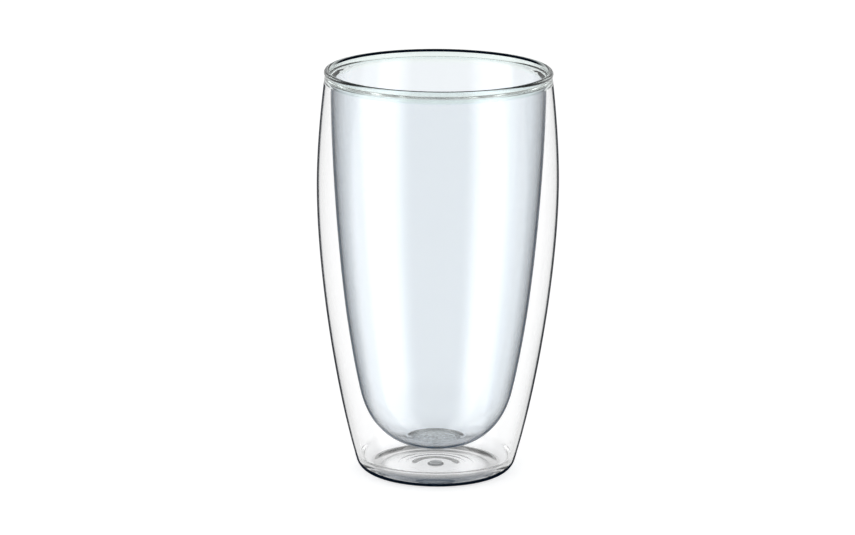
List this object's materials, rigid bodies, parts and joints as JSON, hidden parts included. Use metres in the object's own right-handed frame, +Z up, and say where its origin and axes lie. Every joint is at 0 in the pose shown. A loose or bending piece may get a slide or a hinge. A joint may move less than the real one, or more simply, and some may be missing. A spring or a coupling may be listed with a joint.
{
  "type": "double walled glass cup",
  "caption": "Tall double walled glass tumbler with no handle: a rounded inner bowl hangs in a tapered outer shell from a fused rim, with sealed air between the walls.",
  "frame": {"origin": "centre of the foot ring, on the plane that the cup stands on", "axes": "+Z up along the axis that every piece is turned about; X and Y are level, and any direction round the axis is alike"},
  "size_m": [0.0884, 0.0884, 0.15],
  "materials": {
    "bowl_glass": "clear blown borosilicate glass, fire polished",
    "shell_glass": "clear blown borosilicate glass, fire polished",
    "rim_glass": "clear flame-worked glass bead, faintly green-grey where it is thick",
    "silicone": "translucent white silicone, satin"
  },
  "bodies": {
    "root": {"inner_bowl": "bowl_glass", "outer_shell": "shell_glass", "rim_bead": "rim_glass", "vent_plug": "silicone"}
  },
  "joints": []
}
